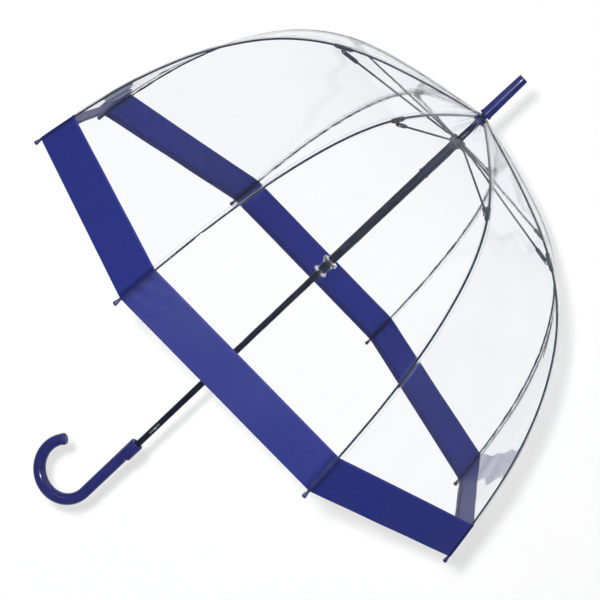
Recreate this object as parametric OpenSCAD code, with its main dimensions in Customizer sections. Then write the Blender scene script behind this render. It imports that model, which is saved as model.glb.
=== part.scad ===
// A clear dome umbrella with a coloured border band, a crook handle and eight
// ribs. It is drawn open. The shaft runs along +Z, the ferrule is at the top,
// and the origin is on the shaft's axis inside the straight grip.

/* [Shaft] */
// Outside diameter of the steel shaft
shaft_d = 9.6; // [8:0.1:11]
// Wall of the shaft tube
shaft_wall = 0.6; // [0.4:0.1:1]
// Height of the crown, where the canopy meets the shaft
crown_z = 759; // [740:1:790]

/* [Ribs] */
// Number of ribs and of canopy panels
rib_count = 8; // [8:1:8]
// Direction of the first rib about the shaft, in degrees
first_rib = 22.5; // [0:0.5:45]
// Distance of the crown end of a rib from the shaft's axis
crown_r = 8.7; // [8.5:0.1:10]
// Slope of a rib where it leaves the crown, in degrees below level
crown_slope = 10.3; // [8:0.1:13]
// Lengths of the six stretches of a rib's curve, from crown to hem
stretch_len = [150, 65, 135, 100, 110, 106]; // [40:1:200]
// Bend radii of the same six stretches
stretch_rad = [1300, 480, 287, 425, 616, 1620]; // [250:1:2000]
// Diameter of a rib rod
rib_d = 3.0; // [2.4:0.1:3.2]
// Depth of the rod's centreline under the canopy sheet
rib_inset = 2.6; // [2.4:0.1:3.2]
// Distance along the rib from the crown to the stretcher joint
joint_s = 220; // [200:1:235]
// Depth of the stretcher's rivet under the rib rod
joint_drop = 5; // [4:0.5:7]
// Distance along the rib from the crown to the flex point
flex_s = 270; // [250:1:300]
// Length of a rib's tip cap past the hem
tip_len = 11; // [8:0.5:14]
// Diameter of a rib's tip cap at its end
tip_d = 6.4; // [5:0.1:7]

/* [Stretchers] */
// Diameter of a stretcher rod
stretcher_d = 2.8; // [2.4:0.1:3]
// Sideways offset of the stretcher rod from the rib's plane
stretcher_side = 4.3; // [4.2:0.1:5]
// Length of the flat fitting at the outer end of a stretcher
fitting_len = 26; // [18:1:32]
// Height of that fitting
fitting_h = 5.5; // [4:0.5:7]

/* [Canopy] */
// Thickness of the clear sheet
sheet_t = 0.3; // [0.2:0.05:0.4]
// Width of the coloured border band, measured up from the hem
border_w = 55; // [40:1:80]
// Thickness of the coloured border band
border_t = 0.4; // [0.3:0.05:0.5]
// Gap at the seam between neighbouring sheets
seam_gap = 0.4; // [0.3:0.05:0.6]

/* [Runner] */
// Height of the runner's upper face with the canopy open
runner_top = 715; // [700:1:725]
// Length of the runner's plastic head
head_len = 72; // [50:1:80]
// Outside diameter of the head's sleeve
head_d = 14.5; // [13:0.1:16]
// Distance of the stretcher hinges from the shaft's axis
runner_hinge_r = 9; // [8.8:0.1:10]
// Depth of the stretcher hinges below the runner's upper face
runner_hinge_drop = 4; // [3:0.5:6]
// Height of the lower end of the runner's steel tube
runner_tube_end = 461; // [440:1:500]
// Outside diameter of the runner's steel tube
runner_tube_d = 13.6; // [12.6:0.1:14]
// Length of the clear thumb grip below the tube
grip_len = 26; // [20:1:34]
// Diameter of the thumb grip across its lobes
grip_d = 24; // [20:0.5:27]

/* [Catches] */
// Height of the middle of the catch that holds the canopy open
open_catch_z = 558.5; // [545:0.5:570]
// Direction of that catch about the shaft, in degrees
open_catch_turn = -20; // [-40:1:0]
// Length of that catch's strip
open_catch_len = 36; // [30:1:40]
// Height of the middle of the catch that holds the canopy closed
closed_catch_z = 87; // [86.5:0.5:88]

/* [Handle] */
// Height of the handle's upper end
handle_top = 50; // [40:1:60]
// Outside diameter of the handle
handle_d = 18; // [16:0.5:20]
// Distance of the grip's centreline from the shaft's axis, toward the crook
handle_shift = 2.8; // [2:0.1:3.5]
// Radius of the crook, measured to the handle's centreline
crook_r = 46; // [40:1:52]
// Height of the crook's centre
crook_z = -67; // [-75:1:-50]
// Sweep of the crook, in degrees
crook_sweep = 213; // [180:1:225]
// Direction of the crook about the shaft, in degrees from -X
crook_turn = -16; // [-30:1:0]
// Length of the collar that takes the shaft
collar_len = 29; // [20:1:36]
// Diameter of that collar
collar_d = 21; // [20:0.5:23]

/* [Ferrule] */
// Height of the ferrule above the canopy
ferrule_h = 72; // [50:1:90]
// Diameter of the ferrule at its base
ferrule_base_d = 18.6; // [16:0.1:20]
// Diameter of the ferrule at its tip
ferrule_tip_d = 14.4; // [11:0.1:15]

/* [Hidden] */
$fn = 48;
RIBS = [1:rib_count];
function numbered(name) = [for (k = RIBS) str(name, "_", k)];

shaft_r = shaft_d / 2;
rib_r = rib_d / 2;
rib_taper = 0.04;
rib_pitch = 360 / rib_count;
half_pitch = rib_pitch / 2;
last_stretch = len(stretch_len) - 1;

// Running clearances: round a wire, round the shaft, and between moving faces
wire_play = 0.05;
shaft_play = 0.4;
side_play = 0.3;
// A fixed piece on its seat
seat_play = 0.02;
// Cutters reach this far past the faces that they cut
past = 1;

// The rib's curve. A place on it is [radius, height, slope, distance from the crown].
function along(p, dist, rad) =
    let (slope = p[2] + dist / rad * 180 / PI)
    [p[0] + rad * (sin(slope) - sin(p[2])), p[1] - rad * (cos(p[2]) - cos(slope)), slope, p[3] + dist];
function stretch_start(i) =
    i == 0 ? [crown_r, crown_z, crown_slope, 0]
    : along(stretch_start(i - 1), stretch_len[i - 1], stretch_rad[i - 1]);
function rib_at(s, i = 0) =
    let (p = stretch_start(i))
    i == last_stretch || s <= p[3] + stretch_len[i] ? along(p, s - p[3], stretch_rad[i]) : rib_at(s, i + 1);
// A place at a depth under the sheet, as [radius, height]
function under(p, depth) = [p[0] - depth * sin(p[2]), p[1] - depth * cos(p[2])];

hem_s = stretch_start(last_stretch)[3] + stretch_len[last_stretch];
border_s = hem_s - border_w;
crown_hinge = under(rib_at(0), rib_inset);
joint_at = under(rib_at(joint_s), rib_inset + joint_drop);
flex_at = under(rib_at(flex_s), rib_inset);
runner_hinge = [runner_hinge_r, runner_top - runner_hinge_drop];
stretcher_len = norm(joint_at - runner_hinge);
stretcher_rise = atan2(joint_at[1] - runner_hinge[1], joint_at[0] - runner_hinge[0]);

// Eyes and wires of the two hinge rings
wire_r = 0.6;
crown_eye_r = 1.9;
crown_eye_w = 2.4;
runner_eye_r = 1.7;
runner_eye_w = 2.0;

// Turns a child drawn in the XZ plane, with X outward, to rib number k or to the panel after it
module at_rib(k) { rotate(first_rib + (k - 1) * rib_pitch) children(); }
module at_panel(k) { rotate(first_rib + (k - 0.5) * rib_pitch) children(); }
// Stands a shape drawn in XY up into the XZ plane
module upright() { rotate([90, 0, 0]) children(); }
// A round bar across the rib's plane, centred on a place [radius, height]
module cross_bar(p, r, w) { translate([p[0], 0, p[1]]) upright() cylinder(r = r, h = w, center = true); }

module ring(r_out, r_in, h) {
    difference() {
        cylinder(r = r_out, h = h);
        translate([0, 0, -past]) cylinder(r = r_in, h = h + 2 * past);
    }
}

// A rod along the rib's curve from s0 to s1. Each stretch is a little thinner than the one
// before, and starts just inside it.
module rib_rod(s0, s1, depth) {
    for (i = [0:last_stretch]) {
        p = stretch_start(i);
        inside = s0 < p[3] ? 0.3 : 0;
        from = max(s0, p[3] - inside);
        to = min(s1, i == last_stretch ? s1 : p[3] + stretch_len[i]);
        if (to > from) {
            rad = stretch_rad[i];
            low = rib_at(to, i)[2];
            high = rib_at(from, i)[2];
            translate([p[0] - rad * sin(p[2]), 0, p[1] - rad * cos(p[2])])
                upright() rotate(90 - low)
                rotate_extrude(angle = low - high) translate([rad - depth, 0]) circle(r = rib_r - i * rib_taper);
        }
    }
}

// A piece turned about a line that lies along the rib at s, with z running toward the hem
module on_rib(s, depth) {
    p = rib_at(s);
    at = under(p, depth);
    translate([at[0], 0, at[1]]) rotate([0, 90 + p[2], 0]) children();
}

// One flat-sided strip of sheet between two ribs, from s0 to s1, its outer face at a depth
module sheet_strip(s0, s1, thick, steps) {
    wide = cos(half_pitch);
    places = [for (i = [0:steps]) rib_at(s0 + (s1 - s0) * i / steps)];
    outer = [for (p = places) [p[0] * wide, p[1]]];
    inner = [for (i = [steps:-1:0]) let (q = under(places[i], thick)) [q[0] * wide, q[1]]];
    reach = places[steps][0] * 1.2;
    intersection() {
        upright() linear_extrude(height = 2 * reach * tan(half_pitch), center = true) polygon(concat(outer, inner));
        translate([seam_gap / 2 / sin(half_pitch), 0, 0])
            linear_extrude(height = crown_z + past)
            polygon([[0, 0], [reach, -reach * tan(half_pitch)], [reach, reach * tan(half_pitch)]]);
    }
}

// Straight lengths of wire round the shaft, one across each rib's plane
module hinge_wire(p) {
    side = 2 * (p[0] + wire_r / 2) * tan(half_pitch);
    for (k = RIBS) at_rib(k) cross_bar(p, wire_r, side);
}

// Slots for the eyes, and the round channel for the wire that holds them
module hinge_slots(p, slot_in, slot_w, z0, z1) {
    for (k = RIBS) at_rib(k)
        translate([slot_in, -slot_w / 2, z0 - past]) cube([20, slot_w, z1 - z0 + 2 * past]);
    channel_r = norm([p[0] + wire_r, (p[0] + wire_r / 2) * tan(half_pitch)]) + wire_play;
    channel_h = 2 * (wire_r + wire_play);
    translate([0, 0, p[1] - channel_h / 2]) ring(channel_r, p[0] - wire_r - wire_play, channel_h);
}

module slot_box(z, turn, length, wide, r0, r1) {
    rotate(turn) translate([r0, -wide / 2, z - length / 2]) cube([r1 - r0, wide, length]);
}

// Steel tube from inside the handle to inside the ferrule, with a slot for each catch
catch_w = 3;
closed_catch_len = 24;
closed_catch_turn = -90;
shaft_end = handle_top - 60;
shaft_head = crown_z + 16;
module shaft_tube() {
    color("#15172e") difference() {
        translate([0, 0, shaft_end]) ring(shaft_r, shaft_r - shaft_wall, shaft_head - shaft_end);
        slot_box(open_catch_z, open_catch_turn, open_catch_len + 1, catch_w + 0.8, 2, shaft_r + past);
        slot_box(closed_catch_z, closed_catch_turn, closed_catch_len + 1, catch_w + 0.8, 2, shaft_r + past);
    }
}

// Spring catch: a strip inside the shaft with a nose that stands just proud of it
nose_out = 0.1;
closed_nose_len = 3.4;
module catch(z, turn, length, nose_len) {
    strip_t = 0.6;
    strip_in = shaft_r - shaft_wall - strip_t - 1.2;
    slot_box(z, turn, length - 2, catch_w, strip_in, strip_in + strip_t);
    slot_box(z, turn, nose_len, catch_w, strip_in + strip_t, shaft_r + nose_out);
}
module open_catch() { color("#b9c2cc") catch(open_catch_z, open_catch_turn, open_catch_len, open_catch_len - 4); }
module closed_catch() {
    color("#b9c2cc") catch(closed_catch_z, closed_catch_turn, closed_catch_len, closed_nose_len);
}

// Runner head: a sleeve, and a slotted flange for the stretcher hinges
flange_d = 22;
flange_h = 9;
flange_cone_h = 5;
head_rim_h = 3;
head_rim_d = head_d + 1.4;
tube_in = 20;
tube_wall = 0.6;
runner_bore = shaft_r + shaft_play;
module runner_head() {
    z0 = runner_top - head_len;
    color("#20244a") difference() {
        union() {
            translate([0, 0, z0]) cylinder(d = head_d, h = head_len);
            translate([0, 0, z0]) cylinder(d = head_rim_d, h = head_rim_h);
            translate([0, 0, runner_top - flange_h]) cylinder(d = flange_d, h = flange_h);
            translate([0, 0, runner_top - flange_h - flange_cone_h])
                cylinder(d1 = head_d, d2 = flange_d, h = flange_cone_h);
        }
        translate([0, 0, z0 - past]) cylinder(r = runner_bore, h = head_len + 2 * past);
        hinge_slots(runner_hinge, runner_hinge_r - runner_eye_r - side_play, runner_eye_w + 2 * side_play,
            runner_top - flange_h, runner_top);
        translate([0, 0, z0 - past]) cylinder(r = runner_tube_d / 2 - tube_wall + seat_play, h = tube_in + past);
    }
}
module runner_wire() { color("#8d929b") hinge_wire(runner_hinge); }

// Steel tube below the head. It is stepped in at its top to fit inside the head.
hole_w = 3.4;
hole_z = runner_tube_end + 4.5;
hole_rise = 2;
module runner_tube() {
    z0 = runner_tube_end - grip_len + 4;
    z1 = runner_top - head_len;
    r = runner_tube_d / 2;
    color("#191b38") difference() {
        union() {
            translate([0, 0, z0]) cylinder(r = r, h = z1 - z0 - seat_play);
            translate([0, 0, z0]) cylinder(r = r - tube_wall, h = z1 - z0 + tube_in - 1);
        }
        translate([0, 0, z0 - past]) cylinder(r = r - 2 * tube_wall, h = z1 - z0 + tube_in + 2 * past);
        slot_box(open_catch_z, open_catch_turn, open_catch_len + 1, catch_w + 1, shaft_r, r + past);
        translate([-hole_w / 2, -r - past, hole_z]) cube([hole_w, r + past, hole_rise]);
        for (z = [hole_z, hole_z + hole_rise]) translate([0, 0, z]) upright() cylinder(d = hole_w, h = r + past);
    }
}

// Clear thumb grip: a waisted sleeve between two lobed flanges
lobes = 6;
lobe_r = 3.6;
module lobed_flange(d, h) {
    cylinder(d = d - 5, h = h);
    for (i = [0:lobes - 1]) rotate(i * 360 / lobes) translate([d / 2 - lobe_r, 0, 0]) cylinder(r = lobe_r, h = h);
}
module thumb_grip() {
    z0 = runner_tube_end - grip_len;
    bore = runner_tube_d / 2 + seat_play;
    color("#c9d3ee", 0.55) difference() {
        union() {
            translate([0, 0, z0]) lobed_flange(grip_d - 2, 4);
            translate([0, 0, z0]) cylinder(r = bore + 1.6, h = grip_len);
            translate([0, 0, z0 + grip_len - 6]) lobed_flange(grip_d, 5);
        }
        translate([0, 0, z0 + 4]) cylinder(r = bore, h = grip_len);
        translate([0, 0, z0 - past]) cylinder(r = runner_bore, h = grip_len);
    }
}

// Crown: a notched ring that carries the rib ends, the wire through them, and a clear washer
notch_h = 9;
notch_r = 10.6;
module crown_notch() {
    z0 = crown_hinge[1] - notch_h + 1.7;
    color("#20244a") difference() {
        translate([0, 0, z0]) cylinder(r = notch_r, h = notch_h);
        translate([0, 0, z0 - past]) cylinder(r = shaft_r + seat_play, h = notch_h + 2 * past);
        hinge_slots(crown_hinge, crown_hinge[0] - crown_eye_r - side_play, crown_eye_w + 2 * side_play,
            z0, z0 + notch_h);
    }
}
module crown_wire() { color("#8d929b") hinge_wire(crown_hinge); }

disc_r = 10.8;
disc_t = 1;
module crown_disc() {
    drop = (disc_r - crown_r) * tan(crown_slope);
    rise = (crown_r - shaft_r) * tan(crown_slope);
    z = crown_z + side_play + 0.1;
    color("#dfe6f5", 0.5) rotate_extrude()
        polygon([[shaft_r + seat_play, z + rise], [disc_r, z - drop], [disc_r, z - drop + disc_t],
            [shaft_r + seat_play, z + rise + disc_t]]);
}

// Ferrule: a tapered cap over the end of the shaft, with a domed end
module ferrule() {
    z0 = crown_z + 3.2;
    foot_h = 3;
    r0 = ferrule_base_d / 2;
    r1 = ferrule_tip_d / 2;
    z1 = crown_z + 5.5 + ferrule_h;
    round_r = 2;
    color("#29327f") difference() {
        rotate_extrude() union() {
            polygon([[0, z0], [r0 - 0.4, z0], [r0, z0 + 0.5], [r0, z0 + foot_h], [r0 - 1, z0 + foot_h + 1.5],
                [r1, z1 - round_r], [r1 - round_r, z1 - round_r], [r1 - round_r, z1], [0, z1]]);
            translate([r1 - round_r, z1 - round_r]) intersection() {
                circle(r = round_r);
                square(round_r);
            }
        }
        translate([0, 0, z0 - past]) cylinder(r = shaft_r + seat_play, h = shaft_head - z0 + past + seat_play);
    }
}

// Handle: a straight grip with a thicker collar for the shaft, and a crook with a capped end.
// The collar stands just proud of the grip on the crook's side, and well proud opposite it.
collar_lip = 0.1;
rim_bevel = 2;
rim_mouth = 2;
end_cap_len = 7;
end_cap_bevel = 3;
module handle() {
    r = handle_d / 2;
    collar_r = collar_d / 2;
    collar_at = collar_r - r - handle_shift - collar_lip;
    overlap = 0.3;
    color("#29327f") rotate(crook_turn) {
        difference() {
            union() {
                translate([-handle_shift, 0, crook_z - overlap])
                    cylinder(r = r, h = handle_top - collar_len / 2 - crook_z + overlap);
                translate([collar_at, 0, handle_top - collar_len]) cylinder(r = collar_r, h = collar_len - rim_bevel);
                translate([collar_at, 0, handle_top - rim_bevel])
                    cylinder(r1 = collar_r, r2 = collar_r - rim_bevel, h = rim_bevel);
            }
            translate([0, 0, shaft_end]) cylinder(r = shaft_r + seat_play, h = handle_top - shaft_end + past);
            translate([0, 0, handle_top - rim_mouth]) cylinder(r = shaft_r + 2, h = rim_mouth + past);
        }
        translate([-handle_shift - crook_r, 0, crook_z]) upright() rotate(-crook_sweep) {
            rotate_extrude(angle = crook_sweep) translate([crook_r, 0]) circle(r = r - rib_taper);
            translate([crook_r, 0, 0]) rotate([90, 0, 0]) {
                cylinder(r = r + 0.5, h = end_cap_len - end_cap_bevel);
                translate([0, 0, end_cap_len - end_cap_bevel])
                    cylinder(r1 = r + 0.5, r2 = r + 0.5 - end_cap_bevel, h = end_cap_bevel);
            }
        }
    }
}

// Upper rib: crown eye, rod, stretcher joint block and the barrel of the flex point
block_len = 27;
block_w = 5;
block_in = 3.3;
block_out = 1.3;
ear_r = 2.6;
barrel_r = 1.9;
module rib_upper(k) {
    color("#16182f") at_rib(k) difference() {
        union() {
            cross_bar(crown_hinge, crown_eye_r, crown_eye_w);
            rib_rod(1.2, flex_s, rib_inset);
            on_rib(joint_s, rib_inset) {
                translate([-block_out, -block_w / 2, -block_len / 2]) cube([block_in + block_out, block_w, block_len]);
                translate([0, -block_w / 2, -ear_r]) cube([joint_drop + ear_r, block_w, 2 * ear_r]);
            }
            cross_bar(flex_at, barrel_r, rib_d);
        }
        cross_bar(crown_hinge, wire_r + wire_play, 3 * crown_eye_w);
    }
}

// Lower rib: rod from the flex point to the hem, and the tip cap past it
module rib_lower(k) {
    color("#16182f") at_rib(k) {
        rib_rod(flex_s + barrel_r + side_play, hem_s + 2, rib_inset);
        on_rib(hem_s, rib_inset) {
            cylinder(d = rib_d + 1, h = tip_len - tip_d / 2);
            translate([0, 0, tip_len - tip_d / 2]) sphere(d = tip_d);
        }
    }
}

// Stretcher: inner eye and tongue, a step sideways, the rod, and the outer fitting with its rivet
tongue_len = 20;
plate_t = 2;
module stretcher(k) {
    step_at = 15;
    plate_y = stretcher_side - stretcher_d / 2;
    color("#1b1e40") at_rib(k) translate([runner_hinge[0], 0, runner_hinge[1]])
        rotate([0, -stretcher_rise, 0]) {
            difference() {
                union() {
                    upright() cylinder(r = runner_eye_r, h = runner_eye_w, center = true);
                    translate([0, -runner_eye_w / 2, -1.4]) cube([tongue_len, runner_eye_w, 2.8]);
                }
                upright() cylinder(r = wire_r + wire_play, h = 3 * runner_eye_w, center = true);
            }
            translate([step_at, -runner_eye_w / 2, -1.4])
                cube([tongue_len - step_at, runner_eye_w / 2 + stretcher_side + stretcher_d / 2, 2.8]);
            translate([step_at + 1, stretcher_side, 0]) rotate([0, 90, 0])
                cylinder(d = stretcher_d, h = stretcher_len - step_at - fitting_len + 8);
            translate([stretcher_len - fitting_len + fitting_h / 2, plate_y, -fitting_h / 2])
                cube([fitting_len - fitting_h / 2, plate_t, fitting_h]);
            for (x = [stretcher_len - fitting_len + fitting_h / 2, stretcher_len])
                translate([x, plate_y + plate_t, 0]) upright() cylinder(d = fitting_h, h = plate_t);
            translate([stretcher_len, plate_y + plate_t + 0.8, 0]) upright() cylinder(r = 1.7, h = plate_t + 0.8);
        }
}

// Canopy: clear upper and lower sheets, and the coloured band along the hem
flex_gap = 0.2;
module panel_upper(k) {
    color("#eef3fb", 0.35) at_panel(k) sheet_strip(0.5, flex_s - flex_gap, sheet_t, 14);
}
module panel_lower(k) {
    color("#eef3fb", 0.35) at_panel(k) sheet_strip(flex_s + flex_gap, border_s, sheet_t, 20);
}
module border(k) {
    color("#29327f") at_panel(k) sheet_strip(border_s, hem_s, border_t, 4);
}

shaft_tube();
handle();
ferrule();
crown_notch();
crown_wire();
crown_disc();
runner_head();
runner_tube();
runner_wire();
thumb_grip();
open_catch();
closed_catch();
for (k = RIBS) {
    rib_upper(k);
    rib_lower(k);
    stretcher(k);
    panel_upper(k);
    panel_lower(k);
    border(k);
}
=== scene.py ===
"""The looks of a clear dome umbrella, built round its CAD frame."""
import math

import bmesh
import bpy
from mathutils import Matrix, Vector


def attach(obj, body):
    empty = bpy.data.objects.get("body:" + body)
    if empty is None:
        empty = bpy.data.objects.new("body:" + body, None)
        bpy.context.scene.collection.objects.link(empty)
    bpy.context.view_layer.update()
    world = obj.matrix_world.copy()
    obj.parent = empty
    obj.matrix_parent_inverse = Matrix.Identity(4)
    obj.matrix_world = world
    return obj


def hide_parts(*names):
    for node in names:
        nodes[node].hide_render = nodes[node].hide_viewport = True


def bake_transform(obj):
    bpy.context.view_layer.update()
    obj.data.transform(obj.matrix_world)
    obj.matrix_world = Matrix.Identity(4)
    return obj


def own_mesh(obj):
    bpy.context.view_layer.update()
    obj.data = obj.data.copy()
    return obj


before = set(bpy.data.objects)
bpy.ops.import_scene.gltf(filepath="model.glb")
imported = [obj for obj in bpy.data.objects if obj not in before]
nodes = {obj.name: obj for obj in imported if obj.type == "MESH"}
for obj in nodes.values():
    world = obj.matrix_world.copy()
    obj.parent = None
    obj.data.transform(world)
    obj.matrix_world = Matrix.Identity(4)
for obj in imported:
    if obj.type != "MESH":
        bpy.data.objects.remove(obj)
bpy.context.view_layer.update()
mm = 0.001
rib_numbers = range(1, 9)


# ---------------------------------------------------------------- shaft
# A thin steel tube with a hard black enamel that leans to navy. It is drawn and welded,
# then dipped, so its skin has long faint draw lines. The two catches are bare spring steel.
def grain_group():
    """The fine unevenness of a moulded or dipped skin, as a shade and a normal."""
    group = bpy.data.node_groups.new("Skin Grain", "ShaderNodeTree")
    sockets = (("Vector", "INPUT", "NodeSocketVector"), ("Scale", "INPUT", "NodeSocketFloat"),
               ("Depth", "INPUT", "NodeSocketFloat"), ("Shade", "OUTPUT", "NodeSocketFloat"),
               ("Normal", "OUTPUT", "NodeSocketVector"))
    for name, side, kind in sockets:
        group.interface.new_socket(name, in_out=side, socket_type=kind)
    entry = group.nodes.new("NodeGroupInput")
    leave = group.nodes.new("NodeGroupOutput")
    noise = group.nodes.new("ShaderNodeTexNoise")
    noise.inputs["Detail"].default_value = 5
    noise.inputs["Roughness"].default_value = 0.6
    bump = group.nodes.new("ShaderNodeBump")
    bump.inputs["Strength"].default_value = 0.6
    join = group.links.new
    join(entry.outputs["Vector"], noise.inputs["Vector"])
    join(entry.outputs["Scale"], noise.inputs["Scale"])
    join(entry.outputs["Depth"], bump.inputs["Distance"])
    join(noise.outputs["Fac"], bump.inputs["Height"])
    join(noise.outputs["Fac"], leave.inputs["Shade"])
    join(bump.outputs["Normal"], leave.inputs["Normal"])
    return group


skin_grain = grain_group()


def new_material(name):
    """A material with its Principled shader, and the two calls that build on it."""
    made = bpy.data.materials.new(name)
    made.use_nodes = True
    tree = made.node_tree
    return made, tree.nodes["Principled BSDF"], tree.nodes.new, tree.links.new


def grain_on(node, join, map_from, stretch, scale, depth):
    """The grain group, laid over a piece by one of its coordinates."""
    where = node("ShaderNodeTexCoord")
    mapping = node("ShaderNodeMapping")
    mapping.inputs["Scale"].default_value = stretch
    grain = node("ShaderNodeGroup")
    grain.node_tree = skin_grain
    grain.inputs["Scale"].default_value = scale
    grain.inputs["Depth"].default_value = depth
    join(where.outputs[map_from], mapping.inputs["Vector"])
    join(mapping.outputs["Vector"], grain.inputs["Vector"])
    return grain


def two_tone(node, dark_at, dark, light_at, light):
    """A ramp between two tones of one colour."""
    colour = node("ShaderNodeValToRGB")
    low, high = colour.color_ramp.elements
    low.position = dark_at
    low.color = (*dark, 1)
    high.position = light_at
    high.color = (*light, 1)
    return colour


def coated(name, dark, light, rough, scale, depth, stretch=(1, 1, 1), **sockets):
    """A painted, dipped or moulded skin whose colour and gloss wander a little."""
    made, shader, node, join = new_material(name)
    grain = grain_on(node, join, "Object", stretch, scale, depth)
    colour = two_tone(node, 0.3, dark, 0.7, light)
    gloss = node("ShaderNodeMapRange")
    gloss.inputs["To Min"].default_value = rough * 0.8
    gloss.inputs["To Max"].default_value = rough * 1.2
    join(grain.outputs["Shade"], colour.inputs["Fac"])
    join(grain.outputs["Shade"], gloss.inputs["Value"])
    join(colour.outputs["Color"], shader.inputs["Base Color"])
    join(gloss.outputs["Result"], shader.inputs["Roughness"])
    join(grain.outputs["Normal"], shader.inputs["Normal"])
    for socket, value in sockets.items():
        shader.inputs[socket.replace("_", " ")].default_value = value
    return made


def paint(obj, finish):
    """Gives a piece one material."""
    obj.data.materials.clear()
    obj.data.materials.append(finish)


shaft_enamel = coated("Shaft Enamel", (0.006, 0.008, 0.018), (0.012, 0.015, 0.032), 0.28, 60, 0.00002,
                      (6, 6, 0.3), Specular_IOR_Level=0.22)
spring_steel = coated("Spring Steel", (0.30, 0.35, 0.42), (0.48, 0.53, 0.60), 0.32, 90, 0.00002,
                      (8, 8, 0.4), Metallic=0.85)
paint(nodes["shaft_tube"], shaft_enamel)
paint(nodes["open_catch"], spring_steel)
paint(nodes["closed_catch"], spring_steel)


# ---------------------------------------------------------------- handle
# A crook moulded in one piece of polished royal-blue plastic. Its grip lies a little behind the
# shaft's line, its collar is thicker in front, and a glued cap closes the crook's free end.
blue_plastic = coated("Polished Blue Plastic", (0.0145, 0.017, 0.104), (0.021, 0.0255, 0.140), 0.2, 45,
                      0.00004, Specular_IOR_Level=0.3, Coat_Weight=0.15, Coat_Roughness=0.1)


def join_rings(bm, low, high):
    """A band of faces between two rings of points."""
    for i in range(len(low)):
        j = (i + 1) % len(low)
        bm.faces.new((low[i], low[j], high[j], high[i]))


def loft(name, stations, across, sides):
    """A closed skin over round stations, each one a centre, the way ahead and a radius."""
    bm = bmesh.new()
    rings = []
    for centre, ahead, radius in stations:
        up = across.cross(ahead).normalized()
        turns = [2 * math.pi * i / sides for i in range(sides)]
        rim = [centre + radius * (across * math.cos(a) + up * math.sin(a)) for a in turns]
        rings.append([bm.verts.new(place) for place in rim])
    for low, high in zip(rings, rings[1:]):
        join_rings(bm, low, high)
    bm.faces.new(rings[0])
    bm.faces.new(rings[-1])
    bmesh.ops.recalc_face_normals(bm, faces=bm.faces)
    return finish_mesh(name, bm)


def select_only(obj):
    """Leaves one piece selected and active."""
    bpy.ops.object.select_all(action="DESELECT")
    obj.select_set(True)
    bpy.context.view_layer.objects.active = obj


def finish_mesh(name, bm, smooth_angle=40):
    """The bmesh as a smooth piece in the scene."""
    mesh = bpy.data.meshes.new(name)
    bm.to_mesh(mesh)
    bm.free()
    obj = bpy.data.objects.new(name, mesh)
    bpy.context.scene.collection.objects.link(obj)
    select_only(obj)
    bpy.ops.object.shade_smooth_by_angle(angle=math.radians(smooth_angle))
    return obj


up_z = Vector((0, 0, 1))
crook_azimuth = math.radians(164)
back = Vector((math.cos(crook_azimuth), math.sin(crook_azimuth), 0))
crook_side = back.cross(up_z)
handle_top = 50 * mm
grip_shift, grip_r = 2.8 * mm, 9 * mm
collar_shift, collar_r, collar_len = 1.4 * mm, 10.5 * mm, 29 * mm
crook_r, crook_z, crook_sweep = 46 * mm, -67 * mm, math.radians(213)
crook_swell = 1.0 * mm
rim_r = 1.8 * mm
mouth_r, mouth_depth = 6.8 * mm, 2 * mm
cap_out = 0.35 * mm


def crook_station(turn):
    """A place on the crook, where turn runs from 0 at the grip to crook_sweep at the cap."""
    hub = back * (grip_shift + crook_r) + up_z * crook_z
    centre = hub - crook_r * (back * math.cos(turn) + up_z * math.sin(turn))
    ahead = back * math.sin(turn) - up_z * math.cos(turn)
    swell = crook_swell * math.sin(math.pi * min(1, turn / crook_sweep)) ** 2
    return centre, ahead, grip_r + swell


def handle_stations():
    """From the sunk mouth round the shaft, over the collar and down the grip, then round the crook."""
    down = -up_z
    found = [(up_z * (handle_top - mouth_depth), down, mouth_r - 1.9 * mm),
             (up_z * (handle_top - mouth_depth), down, mouth_r),
             (up_z * (handle_top - 0.5 * mm), down, mouth_r),
             (up_z * handle_top + back * 0.3 * mm, down, mouth_r + 0.7 * mm)]
    for i in range(7):
        a = math.pi / 2 * i / 6
        centre = back * collar_shift + up_z * (handle_top - rim_r * (1 - math.cos(a)))
        found.append((centre, down, collar_r - rim_r * (1 - math.sin(a))))
    for share in (0, 0.08, 0.3, 0.5, 0.7, 0.92, 1):
        ease = share * share * (3 - 2 * share)
        centre = back * (collar_shift + (grip_shift - collar_shift) * ease)
        drop = handle_top - collar_len + 2 * mm - 5 * mm * share
        found.append((centre + up_z * drop, down, collar_r + (grip_r - collar_r) * ease))
    for i in range(1, 8):
        z = handle_top - collar_len - 3 * mm
        found.append((back * grip_shift + up_z * (z + (crook_z - z) * i / 8), down, grip_r))
    found += [crook_station(crook_sweep * i / 64) for i in range(65)]
    return found


handle = loft("handle", handle_stations(), crook_side, 64)
paint(handle, blue_plastic)
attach(handle, "shaft")
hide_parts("handle")


def end_cap_stations():
    """The cap goes on along the crook's end, past a fine parting groove."""
    centre, ahead, radius = crook_station(crook_sweep)
    wide = radius + cap_out
    shape = [(-0.6, -1.0), (0.1, -0.6), (0.35, -0.1), (0.8, 0), (3.2, 0), (4.6, -0.25), (5.6, -0.75),
             (6.4, -1.7), (6.9, -3.0), (7.0, -4.6), (7.0, -6.5)]
    return [(centre + ahead * along * mm, ahead, wide + out * mm) for along, out in shape]


end_cap = loft("handle_end_cap", end_cap_stations(), crook_side, 64)
paint(end_cap, blue_plastic)
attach(end_cap, "shaft")


# ---------------------------------------------------------------- ferrule
# The long tapered cap over the shaft's top, moulded in the handle's plastic. It has a small foot
# that presses on the washer, a slightly rounded edge at the tip, and a gate mark in its end.
crown_z = 759 * mm
ferrule_foot, ferrule_top = crown_z + 3.2 * mm, crown_z + 77.5 * mm
ferrule_base_r, ferrule_tip_r = 8.5 * mm, 7.2 * mm
taper_from, tip_round = 5 * mm, 1.2 * mm


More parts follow.
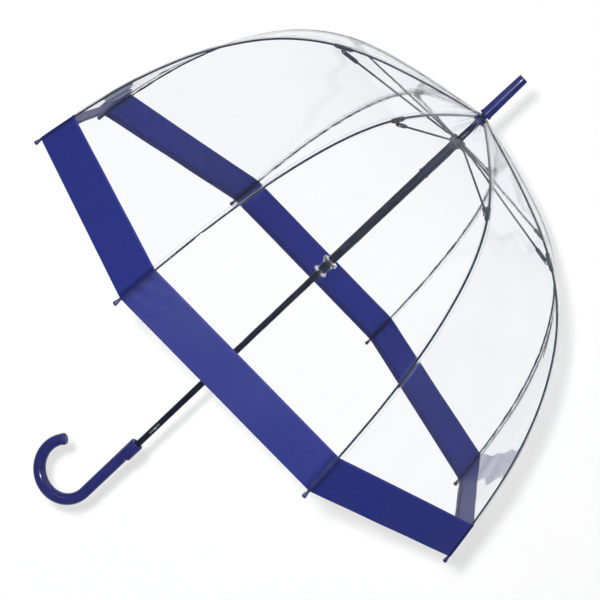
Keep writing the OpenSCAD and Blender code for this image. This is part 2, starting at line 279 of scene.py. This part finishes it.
def ferrule_stations():
    """From the foot's bore over its rounded rim, up the taper to the gate mark in the tip."""
    body = ferrule_top - tip_round - (ferrule_foot + taper_from)
    found = [(0, 4.9), (0, 8.6), (0.25, 9.1), (0.7, 9.3), (2.7, 9.3), (3.1, 9.15), (3.4, 8.75), (3.8, 8.55),
             (4.4, 8.5)]
    found = [(z * mm, r * mm) for z, r in found]
    for i in range(1, 9):
        found.append((taper_from + body * i / 8, ferrule_base_r + (ferrule_tip_r - ferrule_base_r) * i / 8))
    for i in range(1, 6):
        a = math.pi / 2 * i / 5
        z = taper_from + body + tip_round * math.sin(a)
        found.append((z, ferrule_tip_r - tip_round * (1 - math.cos(a))))
    top = ferrule_top - ferrule_foot
    gate = ((0, 2.4), (0.1, 2.0), (0.6, 1.9), (0.6, 0.4))
    found += [(top - deep * mm, r * mm) for deep, r in gate]
    return [(up_z * (ferrule_foot + z), up_z, r) for z, r in found]


ferrule = loft("ferrule", ferrule_stations(), Vector((0, 1, 0)), 64)
paint(ferrule, blue_plastic)
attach(ferrule, "shaft")
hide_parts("ferrule")


# ---------------------------------------------------------------- crown
# The notched ring that holds the rib ends is moulded in blue nylon, with a bright wire through
# it. A clear washer over the film keeps the rain out under the ferrule.
navy_nylon = coated("Navy Nylon", (0.010, 0.014, 0.035), (0.018, 0.024, 0.055), 0.38, 110, 0.00006,
                    Specular_IOR_Level=0.2)
notch_blue = coated("Notch Blue", (0.020, 0.028, 0.105), (0.032, 0.043, 0.150), 0.35, 110, 0.00006,
                    Specular_IOR_Level=0.3)
bright_wire = coated("Bright Wire", (0.40, 0.42, 0.46), (0.55, 0.57, 0.60), 0.25, 200, 0.00002, Metallic=0.9)


lamp_share = 0.64


def clear_plastic(name, tint, edge_tint, rough, scale, depth, stretch, ior, map_from="UV"):
    """Clear plastic. It greys at a glancing view, and lets most of a lamp's light through."""
    made, shader, node, join = new_material(name)
    grain = grain_on(node, join, map_from, stretch, scale, depth)
    streak = (0.98 * tint[0], 0.985 * tint[1], 0.99 * tint[2])
    streaks = two_tone(node, 0.32, streak, 0.5, tint)
    facing = node("ShaderNodeLayerWeight")
    facing.inputs["Blend"].default_value = 0.06
    colour = node("ShaderNodeMix")
    colour.data_type = "RGBA"
    colour.inputs["B"].default_value = (*edge_tint, 1)
    lamp_light = node("ShaderNodeLightPath")
    opaque = node("ShaderNodeMath")
    opaque.operation = "MULTIPLY_ADD"
    opaque.inputs[1].default_value = -lamp_share
    opaque.inputs[2].default_value = 1
    join(grain.outputs["Shade"], streaks.inputs["Fac"])
    join(facing.outputs["Facing"], colour.inputs["Factor"])
    join(streaks.outputs["Color"], colour.inputs["A"])
    join(colour.outputs["Result"], shader.inputs["Base Color"])
    join(grain.outputs["Normal"], shader.inputs["Normal"])
    join(lamp_light.outputs["Is Shadow Ray"], opaque.inputs[0])
    join(opaque.outputs["Value"], shader.inputs["Alpha"])
    shader.inputs["Roughness"].default_value = rough
    shader.inputs["IOR"].default_value = ior
    shader.inputs["Transmission Weight"].default_value = 1
    return made


clear_acrylic = clear_plastic("Clear Acrylic", (0.93, 0.95, 0.985), (0.42, 0.50, 0.66), 0.06, 30, 0.00005,
                              (1, 1, 1), 1.45, "Object")
paint(nodes["crown_notch"], notch_blue)
paint(nodes["crown_wire"], bright_wire)
paint(nodes["crown_disc"], clear_acrylic)


# ---------------------------------------------------------------- runner
# A nylon head with a slotted flange, pressed on a long enamelled tube that slides on the shaft.
# The hand pushes it up by a clear acrylic grip with six lobes at its lower end.
paint(nodes["runner_head"], navy_nylon)
paint(nodes["runner_tube"], shaft_enamel)
paint(nodes["runner_wire"], bright_wire)

grip_lo, grip_hi = 435 * mm, 461 * mm
grip_bore, grip_step = 6.85 * mm, 4 * mm
runner_bore = 5.25 * mm
grip_shape = [(0, 8.0, 0.4), (0.3, 8.7, 1.5), (1.1, 9.2, 1.8), (3.0, 9.2, 1.8), (3.9, 8.8, 1.3),
              (4.4, 8.6, 0.1), (8, 8.5, 0), (14, 8.5, 0), (19.2, 8.6, 0.1), (19.8, 9.0, 1.8),
              (20.6, 9.6, 2.4), (24.0, 9.6, 2.4), (25.2, 9.1, 1.9), (25.7, 8.5, 0.6), (26.0, 7.8, 0.2)]


def thumb_grip_mesh(sides=96):
    """Rings of points that swell into six lobes at the two flanges, and a stepped bore."""
    bm = bmesh.new()
    rows = [(grip_lo + z * mm, r * mm, lobe * mm) for z, r, lobe in grip_shape]
    rows += [(grip_hi - 0.3 * mm, grip_bore, 0), (grip_lo + grip_step, grip_bore, 0)]
    rows += [(grip_lo + grip_step, runner_bore, 0), (grip_lo + 0.2 * mm, runner_bore, 0)]
    rings = []
    for z, r, lobe in rows:
        ring = []
        for i in range(sides):
            a = 2 * math.pi * i / sides
            wide = r + lobe * abs(math.cos(3 * a)) ** 0.7
            ring.append(bm.verts.new((wide * math.cos(a), wide * math.sin(a), z)))
        rings.append(ring)
    for low, high in zip(rings, rings[1:] + rings[:1]):
        join_rings(bm, low, high)
    bmesh.ops.recalc_face_normals(bm, faces=bm.faces)
    return bm


thumb_grip = finish_mesh("thumb_grip", thumb_grip_mesh())
paint(thumb_grip, clear_acrylic)
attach(thumb_grip, "runner")
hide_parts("thumb_grip")


# ---------------------------------------------------------------- ribs
# Eight springy black rods that bend from the crown to the hem, each with a moulded eye at the
# crown. The frame has its hinge between the stretcher joint and the hem.
crown_r, crown_slope = 8.7 * mm, math.radians(10.3)
stretches = [(150, 1300), (65, 480), (135, 287), (100, 425), (110, 616), (106, 1620)]
hem_s = sum(length for length, bend in stretches) * mm
flex_s, joint_s = 270 * mm, 220 * mm
flex_reach = 26 * mm
rib_depth, rib_r = 2.6 * mm, 1.5 * mm
half_pitch = math.radians(22.5)
rib_black = coated("Rib Enamel", (0.005, 0.008, 0.022), (0.011, 0.016, 0.042), 0.3, 70, 0.00002,
                   Specular_IOR_Level=0.2)


def rib_at(s):
    """Radius, height and slope of the canopy's line over a rib, at a distance s from the crown."""
    r, z, slope = crown_r, crown_z, crown_slope
    for number, (length, bend) in enumerate(stretches):
        last = number == len(stretches) - 1
        step = s if last or s < length * mm else length * mm
        turn = step / (bend * mm)
        r += bend * mm * (math.sin(slope + turn) - math.sin(slope))
        z -= bend * mm * (math.cos(slope) - math.cos(slope + turn))
        slope += turn
        s -= step
        if s <= 0:
            break
    return r, z, slope


def azimuth_of(k):
    """The direction of rib number k about the shaft."""
    return half_pitch * (2 * k - 1)


def outward(azimuth):
    """Straight away from the shaft at an azimuth."""
    return Vector((math.cos(azimuth), math.sin(azimuth), 0))


def sideways(azimuth):
    """Round the shaft at an azimuth, square to outward."""
    return Vector((-math.sin(azimuth), math.cos(azimuth), 0))


def rib_place(azimuth, s, depth=0.0):
    """A place at a depth under the canopy's line over a rib."""
    r, z, slope = rib_at(s)
    return outward(azimuth) * (r - depth * math.sin(slope)) + up_z * (z - depth * math.cos(slope))


def rib_ahead(azimuth, s):
    """The way along the rib, toward the hem."""
    slope = rib_at(s)[2]
    return outward(azimuth) * math.cos(slope) - up_z * math.sin(slope)


def bend_ends(azimuth):
    """The two places on a rib between which it bends as the canopy folds."""
    return [rib_place(azimuth, flex_s + side * flex_reach, rib_depth) for side in (-1, 1)]


rod_start, rod_end = 1.2 * mm, hem_s + 2 * mm
rod_taper = 0.12
for k in rib_numbers:
    azimuth = azimuth_of(k)
    places = [rod_start + (rod_end - rod_start) * i / 110 for i in range(111)]
    stations = []
    for s in places:
        radius = rib_r * (1 - rod_taper * s / rod_end)
        stations.append((rib_place(azimuth, s, rib_depth), rib_ahead(azimuth, s), radius))
    rod = loft(f"rib_rod_{k}", stations, sideways(azimuth), 14)
    paint(rod, rib_black)
    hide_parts(f"rib_upper_{k}", f"rib_lower_{k}")
    bend_ends(azimuth)
    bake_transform(rod)


def edit(obj):
    """Opens a piece in edit mode with nothing selected."""
    select_only(obj)
    bpy.ops.object.mode_set(mode="EDIT")
    bpy.ops.mesh.select_all(action="DESELECT")


def bevel_all(obj, width, segments=3):
    """Rounds every edge of a piece a little, and applies it."""
    select_only(obj)
    rounding = obj.modifiers.new("Rounding", "BEVEL")
    rounding.width = width
    rounding.segments = segments
    rounding.limit_method = "ANGLE"
    rounding.angle_limit = math.radians(30)
    bpy.ops.object.modifier_apply(modifier=rounding.name)
    bpy.ops.object.shade_smooth_by_angle(angle=math.radians(40))


def copy_on(template, name, matrix):
    """A copy of a template with its own mesh, put in its place."""
    mesh = template.data.copy()
    mesh.name = name
    mesh.transform(matrix)
    obj = bpy.data.objects.new(name, mesh)
    bpy.context.scene.collection.objects.link(obj)
    return obj


def on_rib(azimuth, s, depth):
    """The matrix that lays +X inward from the rib, +Y across it and +Z toward the hem."""
    ahead = rib_ahead(azimuth, s)
    across = sideways(azimuth)
    turn = Matrix((across.cross(ahead), across, ahead)).transposed().to_4x4()
    return Matrix.Translation(rib_place(azimuth, s, depth)) @ turn


bpy.ops.object.select_all(action="DESELECT")
bpy.ops.mesh.primitive_cylinder_add(vertices=32, radius=1.9 * mm, depth=2.4 * mm,
                                    rotation=(math.pi / 2, 0, 0))
bpy.ops.object.transform_apply(location=False, rotation=True, scale=False)
eye_template = bpy.context.object
bevel_all(eye_template, 0.3 * mm)
for k in rib_numbers:
    eye = copy_on(eye_template, f"rib_eye_{k}", on_rib(azimuth_of(k), 0, rib_depth))
    paint(eye, rib_black)
    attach(eye, f"rib_upper_{k}")
bpy.data.objects.remove(eye_template)

# ---------------------------------------------------------------- stretcher joints
# Each is a navy nylon block moulded round the rib, with chamfered ends and an ear beneath it.
# The stretcher turns on a small brass rivet through the ear.
block_len, block_w, block_in, block_out = 27 * mm, 5 * mm, 3.3 * mm, 1.8 * mm
block_wedge = 3.4 * mm
joint_drop, ear_r = 5 * mm, 2.6 * mm
rivet_brass = coated("Rivet Brass", (0.42, 0.25, 0.07), (0.62, 0.40, 0.14), 0.3, 300, 0.00003, Metallic=1.0)
grey_nylon = coated("Grey Nylon", (0.16, 0.19, 0.27), (0.24, 0.28, 0.37), 0.35, 120, 0.00004,
                    Specular_IOR_Level=0.5)


def block_template():
    """A box with its ends drawn in to a wedge, then rounded all over."""
    bpy.ops.object.select_all(action="DESELECT")
    bpy.ops.mesh.primitive_cube_add(size=1, location=((block_in - block_out) / 2, 0, 0))
    bpy.ops.transform.resize(value=(block_in + block_out, block_w, block_len))
    bpy.ops.object.transform_apply(location=True, rotation=True, scale=True)
    block = bpy.context.object
    for side in (1, -1):
        edit(block)
        bm = bmesh.from_edit_mesh(block.data)
        for face in bm.faces:
            face.select_set(face.normal.z * side > 0.9)
        bmesh.update_edit_mesh(block.data)
        bpy.ops.transform.translate(value=(0, 0, -block_wedge * side))
        bpy.ops.mesh.extrude_region_move(TRANSFORM_OT_translate={"value": (0, 0, block_wedge * side)})
        bpy.ops.transform.resize(value=(0.72, 0.78, 1))
        bpy.ops.object.mode_set(mode="OBJECT")
    bevel_all(block, 0.7 * mm)
    return block


def ear_template():
    """A rounded tab that hangs from the block, with its end turned about the rivet."""
    bpy.ops.object.select_all(action="DESELECT")
    bpy.ops.mesh.primitive_cylinder_add(vertices=40, radius=ear_r, depth=block_w - 0.6 * mm,
                                        location=(joint_drop, 0, 0), rotation=(math.pi / 2, 0, 0))
    bpy.ops.object.transform_apply(location=True, rotation=True, scale=True)
    ear = bpy.context.object
    edit(ear)
    bm = bmesh.from_edit_mesh(ear.data)
    for vert in bm.verts:
        if vert.co.x < joint_drop:
            vert.co.x -= joint_drop - 1.5 * mm
    bmesh.update_edit_mesh(ear.data)
    bpy.ops.object.mode_set(mode="OBJECT")
    bevel_all(ear, 0.4 * mm)
    return ear


def rivet_template():
    """A domed brass head with its shank."""
    bpy.ops.object.select_all(action="DESELECT")
    bpy.ops.mesh.primitive_cylinder_add(vertices=28, radius=1.15 * mm, depth=10.4 * mm,
                                        location=(joint_drop, 1.3 * mm, 0), rotation=(math.pi / 2, 0, 0))
    bpy.ops.object.transform_apply(location=True, rotation=True, scale=True)
    rivet = bpy.context.object
    bevel_all(rivet, 0.35 * mm)
    return rivet


block_shape, ear_shape, rivet_shape = block_template(), ear_template(), rivet_template()
for k in rib_numbers:
    seat = on_rib(azimuth_of(k), joint_s, rib_depth)
    parts = ((block_shape, f"joint_block_{k}", navy_nylon, "rib_upper"),
             (ear_shape, f"joint_ear_{k}", grey_nylon, "rib_upper"),
             (rivet_shape, f"joint_rivet_{k}", rivet_brass, "stretcher"))
    for shape, name, finish, slot in parts:
        piece = copy_on(shape, name, seat)
        paint(piece, finish)
        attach(piece, f"rib_upper_{k}")
for shape in (block_shape, ear_shape, rivet_shape):
    bpy.data.objects.remove(shape)

# ---------------------------------------------------------------- tip caps
# Blue moulded caps on the rods' ends past the hem. Each has a narrow neck that swells to a
# rounded end, and it is sewn to the corner of the band through its neck.
cap_shape = [(-3.0, 1.55), (-2.8, 1.9), (0.5, 2.0), (2.0, 1.95), (4.0, 2.15), (6.5, 2.7), (8.6, 3.05),
             (9.8, 3.1), (10.6, 2.8), (11.1, 2.2), (11.35, 1.3), (11.4, 0.4)]
cap_blue = coated("Cap Blue", (0.013, 0.016, 0.085), (0.020, 0.024, 0.125), 0.3, 140, 0.00003,
                  Specular_IOR_Level=0.5)
for k in rib_numbers:
    azimuth = azimuth_of(k)
    stations = [(rib_place(azimuth, hem_s + s * mm, rib_depth), rib_ahead(azimuth, hem_s + s * mm), r * mm)
                for s, r in cap_shape]
    tip = loft(f"tip_cap_{k}", stations, sideways(azimuth), 28)
    paint(tip, cap_blue)
    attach(tip, f"rib_lower_{k}")

# ---------------------------------------------------------------- stretchers
# Thin steel rods in navy enamel, with a flat pressed fitting at the outer end and an eye at the
# runner. The frame's own parts are shown.
stretcher_navy = coated("Stretcher Enamel", (0.008, 0.010, 0.026), (0.018, 0.022, 0.052), 0.32, 80, 0.00003,
                        Specular_IOR_Level=0.22)
for k in rib_numbers:
    paint(nodes[f"stretcher_{k}"], stretcher_navy)

# ---------------------------------------------------------------- clear canopy
# Eight gores of clear vinyl film, welded along the ribs. Each gore is one smooth sheet drawn a
# little inward between its ribs, with small puckers at the welds and fine pleats at the crown.
film_t = 0.3 * mm
border_w = 55 * mm
border_s = hem_s - border_w
seam_gap = 0.2 * mm
clear_film = clear_plastic("Clear Film", (0.992, 0.995, 1.0), (0.34, 0.42, 0.58), 0.02, 6, 0.00002,
                           (14, 1, 1), 1.2)


def sheet_place(azimuth, k, s, u):
    """A place on the gore at azimuth, u running from -1 at one rib to 1 at the next."""
    r, z, slope = rib_at(s)
    wide = r * math.sin(half_pitch)
    free = (1 - u * u)
    bow = 3.2 * mm * free * math.sin(math.pi * min(1, s / hem_s)) ** 0.8
    from_rib = (1 - abs(u)) * wide
    pucker = 0.28 * mm * math.exp(-from_rib / (9 * mm)) * min(1, from_rib / (1.5 * mm))
    pucker *= math.sin(2 * math.pi * s / (17 * mm) + 1.7 * k + 2 * u)
    pleat = 0.5 * mm * math.exp(-s / (70 * mm)) * math.sin(9 * math.pi * u + k) * free
    wave = 0.5 * mm * free * math.cos(2.5 * math.pi * u + k)
    wave *= math.sin(2 * math.pi * (s / (210 * mm) + 0.37 * k))
    sink = bow + pucker + pleat + wave
    out = outward(azimuth)
    place = out * (r * math.cos(half_pitch)) + sideways(azimuth) * u * (wide - seam_gap) + up_z * z
    return place - sink * (out * math.sin(slope) + up_z * math.cos(slope))


def grid_faces(bm, maps, lines, map_of):
    """Faces over lines of points, each with its own place in the map."""
    for low, high in zip(lines, lines[1:]):
        for j in range(len(low) - 1):
            corners = (low[j], high[j], high[j + 1], low[j + 1])
            face = bm.faces.new([vert for vert, u, s in corners])
            for loop, (vert, u, s) in zip(face.loops, corners):
                loop[maps].uv = map_of(u, s)
    bm.normal_update()


def thicken(obj, thick, side):
    """Makes a sheet thick, inward with side -1 and outward with 1, and keeps its rims crisp."""
    thickness = obj.modifiers.new("Thickness", "SOLIDIFY")
    thickness.thickness = thick
    thickness.offset = side
    bpy.ops.object.modifier_apply(modifier=thickness.name)
    bpy.ops.object.shade_smooth_by_angle(angle=math.radians(50))


def sheet_mesh(name, k, s0, s1, rows, columns, thick, sink=0.0, place=sheet_place):
    """A grid over part of a gore, with its own map of across and along, made thick inward."""
    azimuth = 2 * half_pitch * k
    bm = bmesh.new()
    maps = bm.loops.layers.uv.new("UVMap")
    grid = []
    for i in range(rows + 1):
        s = s0 + (s1 - s0) * i / rows
        slope = rib_at(s)[2]
        inward = outward(azimuth) * math.sin(slope) + up_z * math.cos(slope)
        line = []
        for j in range(columns + 1):
            u = 2 * j / columns - 1
            line.append((bm.verts.new(place(azimuth, k, s, u) - inward * sink), u, s))
        grid.append(line)
    grid_faces(bm, maps, grid, lambda u, s: (u / 2 + 0.5 + k, s))
    obj = finish_mesh(name, bm, 60)
    thicken(obj, thick, -1)
    return obj


def flat_cut(s0, s1, steps=40):
    """The flat width, length and area of a gore's cut between two distances from the crown."""
    spans = [2 * rib_at(s0 + (s1 - s0) * i / steps)[0] * math.sin(half_pitch) for i in range(steps + 1)]
    return (max(spans), s1 - s0), (s1 - s0) * sum(spans) / len(spans)


upper_keep, lower_keep = 0.1, 0.075
for k in rib_numbers:
    azimuth = 2 * half_pitch * k
    halves = (("upper", 0.5 * mm, flex_s, 54, 40, upper_keep),
              ("lower", flex_s, border_s, 60, 44, lower_keep))
    for half, s0, s1, rows, columns, keep in halves:
        film = sheet_mesh(f"canopy_{half}_{k}", k, s0, s1, rows, columns, film_t)
        paint(film, clear_film)
        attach(film, f"panel_{half}_{k}")
        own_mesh(film)
        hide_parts(f"panel_{half}_{k}")
        flat, area = flat_cut(s0, s1)

# ---------------------------------------------------------------- seam tapes
# A clear tape 10 mm wide is welded over each seam from the crown to the band.
tape_w, tape_t = 10 * mm, 0.35 * mm
tape_s, tape_lift = 4 * mm, 0.12 * mm
clear_tape = clear_plastic("Seam Tape", (0.965, 0.977, 0.994), (0.36, 0.45, 0.62), 0.03, 8, 0.00003,
                           (1, 1, 1), 1.22)


def tape_mesh(name, azimuth, s0, s1, rows=90):
    """Two narrow facets that lie on the sheets at either side of a rib."""
    bm = bmesh.new()
    maps = bm.loops.layers.uv.new("UVMap")
    lines = []
    for i in range(rows + 1):
        s = s0 + (s1 - s0) * i / rows
        slope = rib_at(s)[2]
        ridge = rib_place(azimuth, s, -tape_lift)
        half_w = min(tape_w / 2, rib_at(s)[0] * math.sin(half_pitch) * 0.8)
        line = []
        for share in (-1, -0.9, -0.35, 0, 0.35, 0.9, 1):
            side = sideways(azimuth) * share * math.cos(half_pitch)
            fall = outward(azimuth) * abs(share) * math.sin(half_pitch)
            line.append((bm.verts.new(ridge + half_w * (side - fall)), share, s))
        lines.append(line)
    grid_faces(bm, maps, lines, lambda share, s: (share, s * 10))
    obj = finish_mesh(name, bm, 60)
    thicken(obj, tape_t, 1)
    return obj


for k in rib_numbers:
    azimuth = azimuth_of(k)
    tape = tape_mesh(f"seam_tape_{k}", azimuth, tape_s, border_s)
    paint(tape, clear_tape)
    bend_ends(azimuth)
    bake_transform(tape)

# ---------------------------------------------------------------- border band
# Royal-blue vinyl film along the hem, welded to the clear film at its folded upper edge. The hem
# is doubled inward, and a narrow pocket is pressed in beside each rib.
band_t = 0.4 * mm
hem_fold, top_fold = 9 * mm, 2.6 * mm
pocket_w = 10 * mm


def band_place(azimuth, k, s, u):
    """The band is taut, with a shallow trough for the rib's pocket at each end."""
    r, z, slope = rib_at(s)
    wide = r * math.sin(half_pitch)
    from_rib = (1 - abs(u)) * wide
    place = sheet_place(azimuth, k, s, u)
    trough = 0.9 * mm * math.sin(math.pi * min(1, from_rib / pocket_w)) ** 2
    drag = 0.18 * mm * math.exp(-from_rib / (40 * mm)) * min(1, from_rib / (4 * mm))
    drag *= math.sin(2 * math.pi * (s / (23 * mm) + from_rib / (60 * mm)))
    out = outward(azimuth)
    return place - (trough + drag) * (out * math.sin(slope) + up_z * math.cos(slope))


def band_film(name, dark, light):
    """Blue film with faint rolling marks, and painted shade that darkens it in the pockets beside the ribs.
    """
    made, shader, node, join = new_material(name)
    grain = grain_on(node, join, "UV", (3, 40, 1), 9, 0.00005)
    colour = two_tone(node, 0.25, dark, 0.75, light)
    pocket_shade = node("ShaderNodeAttribute")
    pocket_shade.attribute_name = "pocket_shade"
    shaded = node("ShaderNodeMix")
    shaded.data_type = "RGBA"
    shaded.blend_type = "MULTIPLY"
    # Painted shade: in the pocket beside each rib the film is multiplied toward this darker tone.
    shaded.inputs["B"].default_value = (0.55, 0.52, 0.55, 1)
    join(grain.outputs["Shade"], colour.inputs["Fac"])
    join(pocket_shade.outputs["Fac"], shaded.inputs["Factor"])
    join(colour.outputs["Color"], shaded.inputs["A"])
    join(shaded.outputs["Result"], shader.inputs["Base Color"])
    join(grain.outputs["Normal"], shader.inputs["Normal"])
    shader.inputs["Roughness"].default_value = 0.48
    shader.inputs["Specular IOR Level"].default_value = 0.16
    shader.inputs["Coat Weight"].default_value = 0.02
    return made


band_blue = band_film("Band Film", (0.010, 0.017, 0.140), (0.015, 0.024, 0.182))
# The doubled hem uses a darker copy of the band film: painted shade.
hem_shaded_blue = band_film("Hem Fold Shaded", (0.010, 0.013, 0.092), (0.014, 0.018, 0.120))
# The welded upper fold uses a lighter copy of the band film: a painted highlight along the band's top edge.
fold_highlight_blue = band_film("Welded Fold Highlight", (0.018, 0.027, 0.180), (0.026, 0.037, 0.230))


def mark_pocket_shade(obj):
    """Writes how deep in a rib's pocket each point is, from 0 to 1, as the mask of the painted shade there.
    """
    marks = obj.data.attributes.new("pocket_shade", "FLOAT", "POINT")
    values = []
    for vert in obj.data.vertices:
        azimuth = math.atan2(vert.co.y, vert.co.x)
        off = abs(azimuth % (2 * half_pitch) - half_pitch)
        from_rib = off * vert.co.xy.length
        values.append(max(0.0, 1 - (from_rib / pocket_w) ** 2))
    marks.data.foreach_set("value", values)


for k in rib_numbers:
    azimuth = 2 * half_pitch * k
    strips = (("band", border_s, hem_s, 16, band_t, 0.0, band_blue),
              ("hem_fold", hem_s - hem_fold, hem_s + 0.4 * mm, 5, band_t, 0.75 * mm, hem_shaded_blue),
              ("welded_fold", border_s - 0.4 * mm, border_s + top_fold, 4, band_t, -0.45 * mm, fold_highlight_blue))
    for name, s0, s1, rows, thick, sink, finish in strips:
        strip = sheet_mesh(f"{name}_{k}", k, s0, s1, rows, 96, thick, sink, band_place)
        # Marks where the painted pocket shade falls on this strip.
        mark_pocket_shade(strip)
        paint(strip, finish)
        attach(strip, f"panel_lower_{k}")
        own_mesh(strip)
    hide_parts(f"border_{k}")
    flat, area = flat_cut(border_s, hem_s)

# ---------------------------------------------------------------- floor, light and camera
# The umbrella hangs a little in front of a plain pale floor that faces the camera. The floor
# shows from its front only, and its shadow doesn't show through the clear film. One soft lamp near
# the camera throws the shadow, and two softboxes light the gloss.
camera_at = Vector((-0.1234, -2.2685, 0.9565))
right = Vector((0.6962, 0.1363, 0.7048)).normalized()
toward = Vector((-0.0569, -0.9682, 0.2435))
toward = (toward - toward.dot(right) * right).normalized()
above = toward.cross(right)
view_turn = Matrix((right, above, toward)).transposed().to_4x4()

floor_gap, floor_size = 0.53, 2.6
bpy.ops.mesh.primitive_plane_add(size=floor_size)
floor = bpy.context.object
floor.name = "floor"
middle = Vector((0, 0, 0.4))
floor.data.transform(Matrix.Translation(middle - toward * floor_gap) @ view_turn)
floor_white, shader, node, join = new_material("Floor White")
shader.inputs["Roughness"].default_value = 0.9
shader.inputs["Specular IOR Level"].default_value = 0
through_film = node("ShaderNodeLightPath")
plain = node("ShaderNodeMapRange")
plain.inputs["To Min"].default_value = 0.86
plain.inputs["To Max"].default_value = 0
shader.inputs["Emission Color"].default_value = (1, 1, 1, 1)
join(through_film.outputs["Is Transmission Ray"], plain.inputs["Value"])
join(through_film.outputs["Is Transmission Ray"], shader.inputs["Emission Strength"])
join(plain.outputs["Result"], shader.inputs["Base Color"])
side_seen = node("ShaderNodeNewGeometry")
front_only = node("ShaderNodeMath")
front_only.operation = "SUBTRACT"
front_only.inputs[0].default_value = 1
join(side_seen.outputs["Backfacing"], front_only.inputs[1])
join(front_only.outputs["Value"], shader.inputs["Alpha"])
paint(floor, floor_white)

world = bpy.data.worlds.new("Studio")
bpy.context.scene.world = world
world.use_nodes = True
sky = world.node_tree.nodes["Background"]
rays = world.node_tree.nodes.new("ShaderNodeLightPath")
seen = world.node_tree.nodes.new("ShaderNodeMath")
seen.operation = "MAXIMUM"
dim = world.node_tree.nodes.new("ShaderNodeMapRange")
dim.inputs["To Min"].default_value = 0.82
dim.inputs["To Max"].default_value = 0.1
level = world.node_tree.nodes.new("ShaderNodeMix")
level.inputs["B"].default_value = 1.0
wire = world.node_tree.links.new
wire(rays.outputs["Is Camera Ray"], seen.inputs[0])
wire(rays.outputs["Is Transmission Ray"], seen.inputs[1])
wire(rays.outputs["Is Glossy Ray"], dim.inputs["Value"])
wire(seen.outputs["Value"], level.inputs["Factor"])
wire(dim.outputs["Result"], level.inputs["A"])
wire(level.outputs["Result"], sky.inputs["Strength"])
sky.inputs["Color"].default_value = (1, 1, 1, 1)


def lamp(name, kind, at, target, **settings):
    """A lamp placed in the camera's own directions, which refracted rays don't see."""
    data = bpy.data.lights.new(name, kind)
    for setting, value in settings.items():
        setattr(data, setting, value)
    obj = bpy.data.objects.new(name, data)
    bpy.context.scene.collection.objects.link(obj)
    place = middle + right * at[0] + above * at[1] + toward * at[2]
    turn = (place - target).to_track_quat("Z", "Y").to_matrix().to_4x4()
    obj.matrix_world = Matrix.Translation(place) @ turn
    obj.visible_transmission = False
    return obj


lamp("key", "POINT", (-0.082, 0.075, 2.34), middle, energy=113, shadow_soft_size=0.04, specular_factor=0.08)
lamp("softbox_left", "AREA", (-1.5, 1.1, 1.4), middle, energy=4, shape="RECTANGLE", size=0.35, size_y=1.6)
lamp("softbox_top", "AREA", (0.4, 1.9, 0.8), middle, energy=2.5, shape="RECTANGLE", size=1.2, size_y=0.5)

lens = bpy.data.cameras.new("camera")
lens.lens = 96.66
lens.sensor_width = 36
camera = bpy.data.objects.new("camera", lens)
bpy.context.scene.collection.objects.link(camera)
camera.matrix_world = Matrix.Translation(camera_at) @ view_turn
bpy.context.scene.camera = camera
bpy.context.scene.view_settings.view_transform = "Standard"
